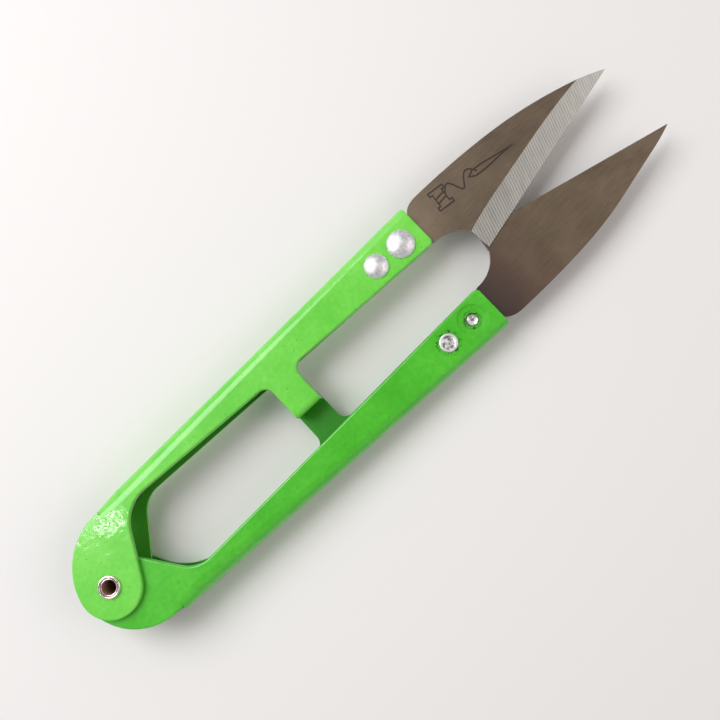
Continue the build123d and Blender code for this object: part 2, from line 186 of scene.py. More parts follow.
@dataclass
class Finish:
    """A material being made: its node tree, its principled shader and object coordinates."""

    material: bpy.types.Material
    tree: bpy.types.NodeTree
    shader: bpy.types.Node
    place: bpy.types.NodeSocket
    normal: bpy.types.NodeSocket

    @classmethod
    def start(cls, name: str, **sockets: object) -> "Finish":
        """Make a material that holds only its principled shader.

        Args:
            name: The finish's name.
            sockets: Values for the shader's own sockets, with underscores for spaces.

        Returns:
            The finish, ready for its patterns.
        """
        material = bpy.data.materials.new(name)
        material.use_nodes = True
        tree = material.node_tree
        tree.nodes.clear()
        own = {key.replace("_", " "): value for key, value in sockets.items()}
        shader = add_node(tree, "BsdfPrincipled", own)
        add_node(tree, "OutputMaterial", {"Surface": shader})
        coordinates = add_node(tree, "TexCoord").outputs
        return cls(material, tree, shader, coordinates["Object"], coordinates["Normal"])

    def grain(
        self, size_mm: float, detail: float = 3.0, stretch: Triple = (1.0, 1.0, 1.0),
        turn_deg: float = 0.0, distortion: float = 0.0,
    ) -> bpy.types.Node:
        """Random pattern whose cells have a real size, a stretch and a direction.

        Args:
            size_mm: Size of the cells.
            detail: Number of finer layers.
            stretch: Scale along each axis, under one for longer cells.
            turn_deg: Turn of the pattern about Z, before the stretch.
            distortion: How far the cells are bent.

        Returns:
            The pattern, from zero to one.
        """
        turn = (0.0, 0.0, math.radians(-turn_deg))
        turned_place = add_node(self.tree, "Mapping", {"Vector": self.place, "Rotation": turn})
        stretched = add_node(self.tree, "Mapping", {"Vector": turned_place, "Scale": stretch})
        sizes = {"Scale": per_metre(size_mm), "Detail": detail, "Distortion": distortion}
        return add_node(self.tree, "TexNoise", {"Vector": stretched, **sizes})

    def away_from(self, at_mm: Point) -> bpy.types.Node:
        """Distance in metres from an upright line through a point of the plan.

        Args:
            at_mm: X and Y of the line.

        Returns:
            The distance.
        """
        flat = add_node(
            self.tree, "VectorMath", {0: self.place, 1: (1.0, 1.0, 0.0)}, operation="MULTIPLY")
        line = (at_mm[0] * MM, at_mm[1] * MM, 0.0)
        return add_node(self.tree, "VectorMath", {0: flat, 1: line}, operation="DISTANCE")

    def feed(self, result: bpy.types.Node, *names: str) -> None:
        """Link a node's first output to inputs of the shader."""
        for name in names:
            self.tree.links.new(in_use(result.outputs, 0), self.shader.inputs[name])


@dataclass(frozen=True)
class Chip:
    """Place and size of the hole round which the paint has cracked."""

    at_mm: Point
    hole_r_mm: float


@dataclass(frozen=True)
class LimeEnamel:
    """Stoved enamel: lime-green paint, dipped and baked on folded sheet, glossy but uneven."""

    half: Half
    body_hex: str
    deep_hex: str
    pale_hex: str
    # Darker green inside the fold: painted shade.
    inside_shade_hex: str = "#1A860C"
    dust_hex: str = "#215C18"
    chip_hex: str = "#2B3A22"
    cloud_mm: float = 7.0
    mottle_mm: float = 0.8
    mottle_share: float = 0.4
    shade_at: Triple = (0.34, 0.50, 0.66)
    peel_mm: float = 1.3
    peel_depth_mm: float = 0.020
    sag_mm: float = 5.0
    sag_depth_mm: float = 0.05
    dust_spacing_mm: float = 0.95
    dust_edge: Span = (0.05, 0.13)
    dust_strength: float = 0.8
    dust_picked: Span = (0.56, 0.66)
    chip_reach_mm: float = 0.6
    chip_grain_mm: float = 0.30
    chip_edge: Span = (0.02, 0.30)
    chip_strength: float = 0.9
    chip_patch_mm: float = 0.55
    chip_patch_at: Span = (0.50, 0.62)
    dish_r_mm: float = 2.7
    dish_from: float = 0.5
    dish_depth_mm: float = 0.16
    fold_middle_mm: float = 0.575
    fold_depth_mm: Span = (2.55, 0.65)
    fold_taper_mm: Span = (10.0, 61.5)
    fold_edge_mm: float = 0.12
    turned_in_at: Span = (0.10, 0.30)

    def build(
        self, chips: Sequence[Chip] = (), sunk_at_mm: Point | None = None
    ) -> bpy.types.Material:
        """Make the enamel.

        Args:
            chips: Where the paint has cracked.
            sunk_at_mm: X and Y of the rivet tail round which the sheet is dished.

        Returns:
            The finished material.
        """
        # A hard clear-looking gloss over pigment: sharp, weak reflections on a saturated body.
        name = f"lime_enamel_{self.half.name.lower()}"
        finish = Finish.start(name, Roughness=0.34, Coat_Weight=0.5, Coat_Roughness=0.08, IOR=1.47)
        layers = [
            (self.dust(finish), self.dust_hex),
            # Inside the fold the green is painted darker: painted shade.
            (self.inside(finish), self.inside_shade_hex),
            *((self.cracks(finish, chip), self.chip_hex) for chip in chips),
        ]
        colour = self.pigment(finish)
        for mask, code in layers:
            colour = add_node(
                finish.tree, "Mix", {0: mask, 1: colour, 2: linear(code)}, data_type="RGBA")
        finish.feed(colour, "Base Color")
        finish.feed(self.relief(finish, sunk_at_mm), "Normal", "Coat Normal")
        return finish.material

    def pigment(self, finish: Finish) -> bpy.types.Node:
        """Green that drifts between a deeper and a paler shade, as the film's thickness does.

        Args:
            finish: The finish being made.

        Returns:
            The colour.
        """
        clouds = finish.grain(self.cloud_mm, detail=2.0)
        mottle = finish.grain(self.mottle_mm)
        film = add_node(finish.tree, "Mix", {0: self.mottle_share, 1: clouds, 2: mottle})
        shades = (linear(self.deep_hex), linear(self.body_hex), linear(self.pale_hex))
        return add_node(
            finish.tree, "ValToRGB", {0: film}, stops=zip(self.shade_at, shades))

    def dust(self, finish: Finish) -> bpy.types.Node:
        """Mask of the dust baked into the coat: sparse specks, drawn coarser than life to show.

        Args:
            finish: The finish being made.

        Returns:
            White on the specks.
        """
        tree = finish.tree
        cells = add_node(
            tree, "TexVoronoi", {"Vector": finish.place, "Scale": per_metre(self.dust_spacing_mm)})
        near = add_node(
            tree, "ValToRGB", {0: cells},
            stops=zip(self.dust_edge, (grey(self.dust_strength), BLACK)))
        picked = add_node(
            tree, "ValToRGB", {0: cells.outputs["Color"]},
            stops=zip(self.dust_picked, (BLACK, WHITE)))
        return add_node(tree, "Math", {0: near, 1: picked}, operation="MULTIPLY")

    def inside(self, finish: Finish) -> bpy.types.Node:
        """Mask of the surfaces inside the fold, where the green is painted darker: painted shade.

        Args:
            finish: The finish being made.

        Returns:
            White inside the fold, black outside it.
        """
        tree = finish.tree
        sign = self.half.value
        where = add_node(tree, "SeparateXYZ", {0: finish.place}).outputs
        facing = add_node(tree, "SeparateXYZ", {0: finish.normal}).outputs
        height = add_node(tree, "Math", {0: where["Z"], 1: sign / MM}, operation="MULTIPLY")
        shifted = add_node(tree, "Math", {0: height, 1: self.fold_middle_mm}, operation="SUBTRACT")
        off_middle = add_node(tree, "Math", {0: shifted}, operation="ABSOLUTE")
        start, end = self.fold_taper_mm
        deep, shallow = self.fold_depth_mm
        ends = {"From Min": start * MM, "From Max": end * MM, "To Min": deep, "To Max": shallow}
        reach = add_node(tree, "MapRange", {"Value": where["X"], **ends})
        depth = add_node(tree, "Math", {0: reach, 1: off_middle}, operation="SUBTRACT")
        between = add_node(
            tree, "ValToRGB", {0: depth}, stops=((0.0, BLACK), (self.fold_edge_mm, WHITE)))
        outward = add_node(tree, "Math", {0: facing["Y"], 1: sign}, operation="MULTIPLY")
        turned_in = add_node(
            tree, "ValToRGB", {0: outward}, stops=zip(self.turned_in_at, (WHITE, BLACK)))
        return add_node(tree, "Math", {0: between, 1: turned_in}, operation="MULTIPLY")

    def cracks(self, finish: Finish, chip: Chip) -> bpy.types.Node:
        """Mask of the paint that cracked when a rivet was closed, with dirt in its cracks.

        Args:
            finish: The finish being made.
            chip: Where the paint has cracked.

        Returns:
            White on the cracks.
        """
        tree = finish.tree
        reach = self.chip_reach_mm
        inward = add_node(
            tree, "Math",
            {0: finish.away_from(chip.at_mm), 1: -per_metre(reach), 2: chip.hole_r_mm / reach},
            operation="MULTIPLY_ADD")
        ragged = add_node(
            tree, "Math", {0: inward, 1: finish.grain(self.chip_grain_mm, detail=4.0)},
            operation="ADD")
        close = add_node(
            tree, "ValToRGB", {0: ragged},
            stops=zip(self.chip_edge, (BLACK, grey(self.chip_strength))))
        patchy = add_node(
            tree, "ValToRGB", {0: finish.grain(self.chip_patch_mm, detail=2.0, distortion=1.0)},
            stops=zip(self.chip_patch_at, (BLACK, WHITE)))
        return add_node(tree, "Math", {0: close, 1: patchy}, operation="MULTIPLY")

    def relief(self, finish: Finish, sunk_at_mm: Point | None) -> bpy.types.Node:
        """Slow sags of the wet paint, the dish round a rivet tail, and the finer orange peel.

        Args:
            finish: The finish being made.
            sunk_at_mm: X and Y of the rivet tail round which the sheet is dished.

        Returns:
            The bumped normal.
        """
        tree = finish.tree
        sags = finish.grain(self.sag_mm, detail=1.0)
        normal = add_node(tree, "Bump", {"Height": sags, "Distance": self.sag_depth_mm * MM})
        if sunk_at_mm is not None:
            away = add_node(
                tree, "Math", {0: finish.away_from(sunk_at_mm), 1: per_metre(self.dish_r_mm)},
                operation="MULTIPLY")
            dish = add_node(
                tree, "ValToRGB", {0: away}, stops=((self.dish_from, BLACK), (1.0, WHITE)))
            normal = add_node(
                tree, "Bump",
                {"Height": dish, "Distance": self.dish_depth_mm * MM, "Normal": normal})
        peel = finish.grain(self.peel_mm, detail=1.5)
        return add_node(
            tree, "Bump", {"Height": peel, "Distance": self.peel_depth_mm * MM, "Normal": normal})


@dataclass(frozen=True)
class GroundSteel:
    """Blade steel: rolled strip, polished on its faces and ground to a bevel, a warm grey."""

    half: Half
    face_hex: str = "#AA9884"
    face_dark_hex: str = "#8A7C6B"
    bevel_hex: str = "#AAABA7"
    bevel_dark_hex: str = "#8A8C8A"
    tint_hex: str = "#8C6E66"
    root_hex: str = "#655B5B"
    edge_hex: str = "#A4A09D"
    stamp_shade_hex: str = "#69605A"
    stamp_floor_mm: float = 1.07
    stamp_band_mm: float = 0.03
    mark_mm: float = 0.22
    mark_stretch: Triple = (0.09, 1.0, 1.0)
    mark_depth_mm: float = 0.0015
    cloud_mm: float = 6.0
    cloud_share: float = 0.55
    face_at: Span = (0.32, 0.66)
    level_at: Span = (0.990, 0.997)
    upright_at: Span = (0.30, 0.50)
    bevel_at: Span = (0.15, 0.80)
    grind_pitch_mm: float = 0.46
    grind_turn_deg: float = 74.0
    grind_wander: float = 1.2
    grind_wander_scale: float = 0.6
    grind_depth_mm: float = 0.012
    grind_uneven_mm: float = 0.9
    grind_uneven_stretch: Triple = (1.0, 0.05, 1.0)
    grind_uneven_share: float = 0.55
    tint_from_mm: float = 74.4
    tint_span_mm: float = 30.0
    tint_cloud_mm: float = 5.0
    tint_wander: float = 0.10
    reddish_until: float = 0.50
    reddish_strength: float = 0.85
    dark_at: Span = (0.05, 0.33)
    dark_strength: float = 0.9

    def build(self) -> bpy.types.Material:
        """Make the steel, with its bevel where the surface tilts away from the faces.

        Returns:
            The finished material.
        """
        finish = Finish.start(
            f"ground_steel_{self.half.name.lower()}", Metallic=1.0, Roughness=0.36)
        tree = finish.tree
        # Rolled faces: fine marks along the blade that only just show, over slow dull clouds.
        marks = finish.grain(self.mark_mm, detail=4.0, stretch=self.mark_stretch)
        lines = self.grinding(finish)
        normal = add_node(tree, "SeparateXYZ", {0: finish.normal}).outputs
        tilt = add_node(tree, "Math", {0: normal["Z"]}, operation="ABSOLUTE")
        level = add_node(
            tree, "ValToRGB", {0: tilt}, stops=zip(self.level_at, (BLACK, WHITE)))
        upright = add_node(
            tree, "ValToRGB", {0: tilt}, stops=zip(self.upright_at, (BLACK, WHITE)))
        # Bevel: straight grinding lines across the edge, every one a slightly different grey.
        greys = (linear(self.bevel_dark_hex), linear(self.bevel_hex))
        bevel = add_node(tree, "ValToRGB", {0: lines}, stops=zip(self.bevel_at, greys))
        face = self.face(finish, marks)
        ground = add_node(tree, "Mix", {0: level, 1: bevel, 2: face}, data_type="RGBA")
        colour = add_node(
            tree, "Mix", {0: upright, 1: linear(self.edge_hex), 2: ground}, data_type="RGBA")
        finish.feed(colour, "Base Color")
        grind = add_node(tree, "Bump", {"Height": lines, "Distance": self.grind_depth_mm * MM})
        rolled = add_node(tree, "Bump", {"Height": marks, "Distance": self.mark_depth_mm * MM})
        relief = add_node(tree, "Mix", {0: level, 1: grind, 2: rolled}, data_type="VECTOR")
        finish.feed(relief, "Normal")
        return finish.material

    def face(self, finish: Finish, marks: bpy.types.Node) -> bpy.types.Node:
        """Colour of the rolled faces, with painted shade on the floor of the stamp's grooves.

        Args:
            finish: The finish being made.
            marks: The fine marks along the blade.

        Returns:
            The colour.
        """
        tree = finish.tree
        clouds = finish.grain(self.cloud_mm, detail=2.0)
        blend = add_node(tree, "Mix", {0: self.cloud_share, 1: marks, 2: clouds})
        tones = (linear(self.face_dark_hex), linear(self.face_hex))
        face = add_node(tree, "ValToRGB", {0: blend}, stops=zip(self.face_at, tones))
        if self.half is Half.LOWER:
            face = self.root_darkening(finish, face)
        # The floor of the stamp's grooves is painted darker: painted shade.
        where = add_node(tree, "SeparateXYZ", {0: finish.place}).outputs
        raised = add_node(
            tree, "Math", {0: where["Z"], 1: self.half.value / MM}, operation="MULTIPLY")
        sunk = add_node(
            tree, "Math", {0: raised, 1: self.stamp_floor_mm, 2: self.stamp_band_mm},
            operation="COMPARE")
        return add_node(
            tree, "Mix", {0: sunk, 1: face, 2: linear(self.stamp_shade_hex)}, data_type="RGBA")

    def grinding(self, finish: Finish) -> bpy.types.Node:
        """Straight grinding lines across the edge, evenly spaced but of uneven strength.

        Args:
            finish: The finish being made.

        Returns:
            Height of the lines.
        """
        tree = finish.tree
        off_line = self.grind_turn_deg - 90.0
        across = add_node(
            tree, "Mapping",
            {"Vector": finish.place, "Rotation": (0.0, 0.0, math.radians(-off_line))})
        bands = WAVE_PERIOD * per_metre(self.grind_pitch_mm)
        sizes = {"Scale": bands, "Distortion": self.grind_wander, "Detail": 2.0,
                 "Detail Scale": self.grind_wander_scale}
        lines = add_node(
            tree, "TexWave", {"Vector": across, **sizes}, wave_type="BANDS", bands_direction="X")
        uneven = finish.grain(
            self.grind_uneven_mm, detail=2.0, stretch=self.grind_uneven_stretch, turn_deg=off_line)
        return add_node(
            tree, "Mix", {0: self.grind_uneven_share, 1: lines.outputs["Fac"], 2: uneven})

    def root_darkening(self, finish: Finish, face: bpy.types.Node) -> bpy.types.Node:
        """Darken the face toward the tang, reddish first.

        Args:
            finish: The finish being made.
            face: Colour of the plain face.

        Returns:
            The tinted colour.
        """
        tree = finish.tree
        where = add_node(tree, "SeparateXYZ", {0: finish.place}).outputs
        from_root = add_node(
            tree, "Math",
            {0: where["X"], 1: per_metre(self.tint_span_mm),
             2: -self.tint_from_mm / self.tint_span_mm},
            operation="MULTIPLY_ADD")
        rootward = add_node(
            tree, "Math",
            {0: finish.grain(self.tint_cloud_mm, detail=2.0), 1: self.tint_wander, 2: from_root},
            operation="MULTIPLY_ADD")
        reddish = add_node(
            tree, "ValToRGB", {0: rootward},
            stops=((0.0, grey(self.reddish_strength)), (self.reddish_until, BLACK)))
        dark = add_node(
            tree, "ValToRGB", {0: rootward},
            stops=zip(self.dark_at, (grey(self.dark_strength), BLACK)))
        tinted = add_node(
            tree, "Mix", {0: reddish, 1: face, 2: linear(self.tint_hex)}, data_type="RGBA")
        return add_node(
            tree, "Mix", {0: dark, 1: tinted, 2: linear(self.root_hex)}, data_type="RGBA")


@dataclass(frozen=True)
class SatinAluminium:
    """Headed aluminium: pressed rivets, silvery white, dulled and finely scuffed by handling."""

    light_hex: str = "#FBFBFC"
    dark_hex: str = "#DAD6DB"
    grime_and_shade_hex: str = "#4B4242"
    scuff_mm: float = 0.5
    scuff_at: Span = (0.34, 0.62)
    scuff_depth_mm: float = 0.010
    patch_mm: float = 0.65
    patch_at: Span = (0.44, 0.58)
    floor_band_mm: tuple[float, ...] = (0.54, 0.56, 1.17, 1.20)
    band_span_mm: float = 2.0
    grime_and_shade_strength: float = 0.8
    level_at: Span = (0.80, 0.95)

    def build(self) -> bpy.types.Material:
        """Make the aluminium.

        Returns:
            The finished material.
        """
        finish = Finish.start("satin_aluminium", Metallic=1.0, Roughness=0.47)
        tree = finish.tree
        scuffs = finish.grain(self.scuff_mm, detail=4.0, distortion=0.6)
        tones = (linear(self.dark_hex), linear(self.light_hex))
        metal = add_node(tree, "ValToRGB", {0: scuffs}, stops=zip(self.scuff_at, tones))
        # The dished tails' floors are darkened in patches: dirt, and painted shade in the sunk front
        # tail.
        patches = add_node(
            tree, "ValToRGB", {0: finish.grain(self.patch_mm, detail=2.0)},
            stops=zip(self.patch_at, (BLACK, WHITE)))
        grime_and_shade = add_node(
            tree, "Math", {0: self.tail_floor(finish), 1: patches}, operation="MULTIPLY")
        colour = add_node(
            tree, "Mix", {0: grime_and_shade, 1: metal, 2: linear(self.grime_and_shade_hex)}, data_type="RGBA")
        relief = add_node(tree, "Bump", {"Height": scuffs, "Distance": self.scuff_depth_mm * MM})
        finish.feed(colour, "Base Color")
        finish.feed(relief, "Normal")
        return finish.material

    def tail_floor(self, finish: Finish) -> bpy.types.Node:
        """Mask of the floors of the dished tails, which lie level and low on their half.

        Args:
            finish: The finish being made.

        Returns:
            White on the floors, black elsewhere.
        """
        tree = finish.tree
        where = add_node(tree, "SeparateXYZ", {0: finish.place}).outputs
        facing = add_node(tree, "SeparateXYZ", {0: finish.normal}).outputs
        signed = add_node(
            tree, "Math", {0: where["Z"], 1: per_metre(self.band_span_mm)}, operation="MULTIPLY")
        height = add_node(tree, "Math", {0: signed}, operation="ABSOLUTE")
        places = [edge / self.band_span_mm for edge in self.floor_band_mm]
        dirty = grey(self.grime_and_shade_strength)
        low = add_node(
            tree, "ValToRGB", {0: height}, stops=zip(places, (BLACK, dirty, dirty, BLACK)))
        tilt = add_node(tree, "Math", {0: facing["Z"]}, operation="ABSOLUTE")
        level = add_node(
            tree, "ValToRGB", {0: tilt}, stops=zip(self.level_at, (BLACK, WHITE)))
        return add_node(tree, "Math", {0: low, 1: level}, operation="MULTIPLY")


@dataclass(frozen=True)
class NickelPlate:
    """Nickel plate on steel: the rolled eyelet, bright outside; its bore is brown, non-metal:
    painted light and shade.
    """

    bright_hex: str = "#EFE9E4"
    warm_hex: str = "#C4A893"
    grime_and_shade_hex: str = "#A07B6B"
    ring_r_mm: tuple[float, ...] = (1.12, 1.22, 1.32, 1.46, 1.60)
    metallic_r_mm: Span = (1.14, 1.20)
    ring_span_mm: float = 2.0
    wobble_mm: float = 0.5
    wobble_wander: float = 0.04
    pit_mm: float = 0.3
    pit_depth_mm: float = 0.004

    def build(self) -> bpy.types.Material:
        """Make the plating.

        Returns:
            The finished material.
        """
        finish = Finish.start("nickel_plate", Roughness=0.22)
        tree = finish.tree
        # The bore is painted brown and not metal: painted light and shade; the rims read white.
        out = add_node(
            tree, "Math", {0: finish.away_from((0.0, 0.0)), 1: per_metre(self.ring_span_mm)},
            operation="MULTIPLY")
        wobbled_out = add_node(
            tree, "Math", {0: finish.grain(self.wobble_mm), 1: self.wobble_wander, 2: out},
            operation="MULTIPLY_ADD")
        rings = [radius / self.ring_span_mm for radius in self.ring_r_mm]
        bore_shade, warm, bright = linear(self.grime_and_shade_hex), linear(self.warm_hex), linear(self.bright_hex)
        tones = (bore_shade, warm, bright, warm, bright)
        colour = add_node(tree, "ValToRGB", {0: wobbled_out}, stops=zip(rings, tones))
        finish.feed(colour, "Base Color")
        metal_band = [radius / self.ring_span_mm for radius in self.metallic_r_mm]
        metallic = add_node(tree, "ValToRGB", {0: wobbled_out}, stops=zip(metal_band, (BLACK, WHITE)))
        finish.feed(metallic, "Metallic")
        pits = finish.grain(self.pit_mm)
        relief = add_node(tree, "Bump", {"Height": pits, "Distance": self.pit_depth_mm * MM})
        finish.feed(relief, "Normal")
        return finish.material


@dataclass(frozen=True)
class SpringWire:
    """Music wire: hard-drawn and oil-tempered, dark blue-grey with a dull shine."""

    light_hex: str = "#6B6468"
    dark_hex: str = "#3A3438"
    streak_mm: float = 0.35
    streak_at: Span = (0.35, 0.65)
    streak_depth_mm: float = 0.004

    def build(self) -> bpy.types.Material:
        """Make the wire.

        Returns:
            The finished material.
        """
        finish = Finish.start("oil_tempered_wire", Metallic=1.0, Roughness=0.38)
        tree = finish.tree
        streaks = finish.grain(self.streak_mm)
        tones = (linear(self.dark_hex), linear(self.light_hex))
        colour = add_node(tree, "ValToRGB", {0: streaks}, stops=zip(self.streak_at, tones))
        relief = add_node(tree, "Bump", {"Height": streaks, "Distance": self.streak_depth_mm * MM})
        finish.feed(colour, "Base Color")
        finish.feed(relief, "Normal")
        return finish.material


def dress(piece: bpy.types.Object, material: bpy.types.Material) -> None:
    """Give a piece one material all over."""
    piece.data.materials.clear()
    piece.data.materials.append(material)


def new_piece(
    name: str, points: Sequence[Sequence[float]], faces: Sequence[Sequence[int]]
) -> bpy.types.Object:
    """Make a piece from its corners, with faces turned outwards and smooth up to its real edges.

    Args:
        name: Name of the piece.
        points: The corners, in metres.
        faces: The corners of each face.

    Returns:
        The new object.
    """
    mesh = bpy.data.meshes.new(name)
    mesh.from_pydata([tuple(point) for point in points], [], faces)
    mesh.validate()
    work = bmesh.new()
    work.from_mesh(mesh)
    bmesh.ops.recalc_face_normals(work, faces=work.faces)
    work.to_mesh(mesh)
    work.free()
    mesh.shade_smooth()
    mesh.set_sharp_from_angle(angle=math.radians(SHARP_EDGE_DEG))
    piece = bpy.data.objects.new(name, mesh)
    bpy.context.scene.collection.objects.link(piece)
    return piece


def quadratic(start: Point, bend: Point, end: Point, steps: int) -> Profile:
    """Points along a curve that leaves start toward bend and arrives at end from it.

    Args:
        start: First point.
        bend: Point that the curve is drawn toward.
        end: Last point.
        steps: Number of spans.

    Returns:
        Points from start to end.
    """
    points = []
    for step in range(steps + 1):
        t = step / steps
        weights = ((1 - t) ** 2, 2 * t * (1 - t), t ** 2)
        points.append((
            sum(w * p[0] for w, p in zip(weights, (start, bend, end))),
            sum(w * p[1] for w, p in zip(weights, (start, bend, end))),
        ))
    return points


def turned(
    name: str, profile: Profile, at: Point, flip: int, closed: bool, sides: int = 96
) -> bpy.types.Object:
    """Turn a profile about an upright line.

    Args:
        name: Name of the piece.
        profile: Radius and height of each point, in millimetres. A radius of zero is a pole.
        at: X and Y of the line, in millimetres.
        flip: One as drawn, minus one to turn the piece over about X.
        closed: Whether the last ring joins the first, as in a tube.
        sides: Number of facets round the line.

    Returns:
        The new object, smooth-shaded.
    """
    points: list[Triple] = []
    rings: list[list[int]] = []
    for radius, height in profile:
        count = sides if radius > 0 else 1
        rings.append(list(range(len(points), len(points) + count)))
        for index in range(count):
            angle = 2 * math.pi * index / sides
            x = at[0] + radius * math.cos(angle)
            y = at[1] + radius * math.sin(angle)
            points.append((x * MM, y * MM * flip, height * MM * flip))
    faces: list[tuple[int, ...]] = []
    spans = list(zip(rings, rings[1:] + rings[:1])) if closed else list(zip(rings, rings[1:]))
    for ring, other in spans:
        for index in range(sides):
            after = (index + 1) % sides
            corners = [ring[index % len(ring)], ring[after % len(ring)],
                       other[after % len(other)], other[index % len(other)]]
            faces.append(tuple(dict.fromkeys(corners)))
    return new_piece(name, points, faces)


@dataclass
class Rivet:
    """One rivet: domed head on its half's own side, shank, and a dished tail on the other side."""

    half: Half
    place: str
    at_mm: Point
    head_r: float
    head_h: float
    tail: Profile
    shank_r: float = 1.1
    seat_z: float = 2.15
    crown_share: float = 0.60
    shoulder_share: Span = (0.94, 0.30)
    skirt_share: float = 0.18
    skirt_foot: float = 0.04
    lip: float = 0.03
    head_steps: int = 20
    skirt_steps: int = 6

    def profile(self) -> Profile:
        """Outline from the crown over the head and down the shank to the tail's middle.

        Returns:
            Radius and height of each point.
        """
        crown = self.seat_z + self.head_h
        out, up = self.shoulder_share
        shoulder = (out * self.head_r, self.seat_z + up * self.head_h)
        over = (self.crown_share * self.head_r, crown)
        dome = quadratic((0.0, crown), over, shoulder, self.head_steps)
        bend = (self.head_r, self.seat_z + self.skirt_share * self.head_h)
        foot = (self.head_r, self.seat_z + self.skirt_foot)
        skirt = quadratic(shoulder, bend, foot, self.skirt_steps)
        under = [(self.head_r - self.lip, self.seat_z), (self.shank_r, self.seat_z)]
        return dome + skirt[1:] + under + self.tail

    def build(self, metal: bpy.types.Material) -> bpy.types.Object:
        """Turn the rivet and hang it on its half.

        Args:
            metal: Finish of the rivet.

        Returns:
            The rivet.
        """
        node = self.half.node(f"{self.place}_rivet")
        piece = turned(f"{node}_turned", self.profile(), self.at_mm, self.half.value, closed=False)
        dress(piece, metal)
        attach(piece, self.half.body)
        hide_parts(node)
        return piece


def front_tail() -> Profile:
    """Tail of the front rivet: tapered, set below the sheet, with a shallow dish."""
    rim = quadratic((0.9, -0.73), (0.84, -0.735), (0.76, -0.68), 5)
    dish = quadratic((0.76, -0.68), (0.6, -0.585), (0.3, -0.58), 6)
    return [(1.1, -0.53), *rim, *dish[1:], (0.0, -0.58)]


def rear_tail() -> Profile:
    """Tail of the rear rivet: a flat raised ring round a shallow uneven dish."""
    spread = quadratic((1.55, -0.96), (1.55, -1.22), (1.34, -1.25), 8)
    dish = quadratic((1.22, -1.24), (1.08, -1.10), (0.86, -1.10), 8)
    return [(1.1, -0.95), (1.52, -0.95), *spread, *dish, (0.45, -1.14), (0.0, -1.12)]


@dataclass
class Eyelet:
    """Hollow rivet through the four ears, both ends rolled into a double rim."""

    bore_r: float = 1.1
    barrel_r: float = 1.45
    rim_r: float = 1.85
    seat_z: float = 4.03
    top_z: float = 4.42

    def end(self) -> Profile:
        """Outline of the upper end, from the bore outwards.

        Returns:
            Radius and height of each point.
        """
        lip = quadratic((self.bore_r, 3.85), (self.bore_r, 4.30), (1.27, 4.31), 8)
        groove = quadratic((1.27, 4.31), (1.36, 4.30), (1.40, 4.19), 5)
        roll = quadratic((1.40, 4.19), (1.43, self.top_z), (1.62, self.top_z), 8)
        rim = quadratic((1.62, self.top_z), (self.rim_r, self.top_z), (self.rim_r, 4.17), 8)
        under = quadratic((self.rim_r, 4.17), (self.rim_r, self.seat_z), (1.74, self.seat_z), 5)
        return lip + groove[1:] + roll[1:] + rim[1:] + under[1:] + [(self.barrel_r, self.seat_z)]

    def build(self, plate: bpy.types.Material) -> bpy.types.Object:
        """Turn the eyelet and hang it on the lower half.

        Args:
            plate: Finish of the eyelet.

        Returns:
            The eyelet.
        """
        upper = self.end()
        lower = [(radius, -height) for radius, height in reversed(upper)]
        piece = turned("pivot_eyelet_turned", upper + lower, (0.0, 0.0), 1, closed=True)
        dress(piece, plate)
        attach(piece, Half.LOWER.body)
        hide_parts("pivot_eyelet")
        return piece


@dataclass
class Spring:
    """Torsion spring: round wire coiled round the eyelet, one leg along each handle's wall."""

    wire_r: float = 0.39
    coil_r: float = 2.2
    pitch: float = 0.9
    whole_turns: int = 2
    knee: Point = (9.0, 7.2)
    knee_in: Point = (-1.5, -1.0)
    knee_out: Point = (1.7, 0.4)
    touch: Point = (19.1, 9.58)
    touch_in: Point = (-1.5, -0.35)
    foot: Point = (22.0, 9.66)
    leg_shares: Triple = (0.1, 0.35, 0.65)
    steps_per_bend: int = 8
    steps_per_turn: int = 48
    sides: int = 16

    def leg(self, height: float) -> list[Vector]:
        """Points of the upper leg from the coil to its foot.

        Args:
            height: Height of the leg, in millimetres.

        Returns:
            The points, in millimetres.
        """
        entry = self.entry_angle()
        start = (self.coil_r * math.cos(entry), self.coil_r * math.sin(entry))
        before = (self.knee[0] + self.knee_in[0], self.knee[1] + self.knee_in[1])
        after = (self.knee[0] + self.knee_out[0], self.knee[1] + self.knee_out[1])
        landing = (self.touch[0] + self.touch_in[0], self.touch[1] + self.touch_in[1])
        straight = [
            (start[0] + share * (before[0] - start[0]), start[1] + share * (before[1] - start[1]))
            for share in self.leg_shares
        ]
        over_knee = quadratic(before, self.knee, after, self.steps_per_bend)
        onto_wall = quadratic(landing, self.touch, self.foot, self.steps_per_bend)
        return [Vector((x, y, height)) for x, y in (*straight, *over_knee, *onto_wall)]

    def entry_angle(self) -> float:
        """Angle on the coil where a straight line to the knee leaves it, in radians."""
        reach = math.hypot(*self.knee)
        return math.atan2(self.knee[1], self.knee[0]) + math.acos(self.coil_r / reach)

    def centre_line(self) -> list[Vector]:
        """Middle of the wire from the lower handle's foot to the upper handle's.

        Returns:
            The points, in millimetres.
        """
        entry = self.entry_angle()
        turn = 2 * math.pi * (self.whole_turns + 1) - 2 * entry
        height = self.pitch * turn / (2 * math.pi)
        steps = round(self.steps_per_turn * turn / (2 * math.pi))
        coil = []
        for step in range(steps + 1):
            share = step / steps
            angle = -entry - share * turn
            x, y = self.coil_r * math.cos(angle), self.coil_r * math.sin(angle)
            coil.append(Vector((x, y, height * (share - 0.5))))
        upper = self.leg(height / 2)
        lower = [Vector((point.x, -point.y, -point.z)) for point in reversed(upper)]
        return lower + coil + upper

    def build(self, wire: bpy.types.Material) -> bpy.types.Object:
        """Bend the wire.

        Args:
            wire: Finish of the wire.

        Returns:
            The spring.
        """
        piece = swept("torsion_spring_wire", self.centre_line(), self.wire_r, self.sides)
        dress(piece, wire)
        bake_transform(piece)
        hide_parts("torsion_spring")
        return piece


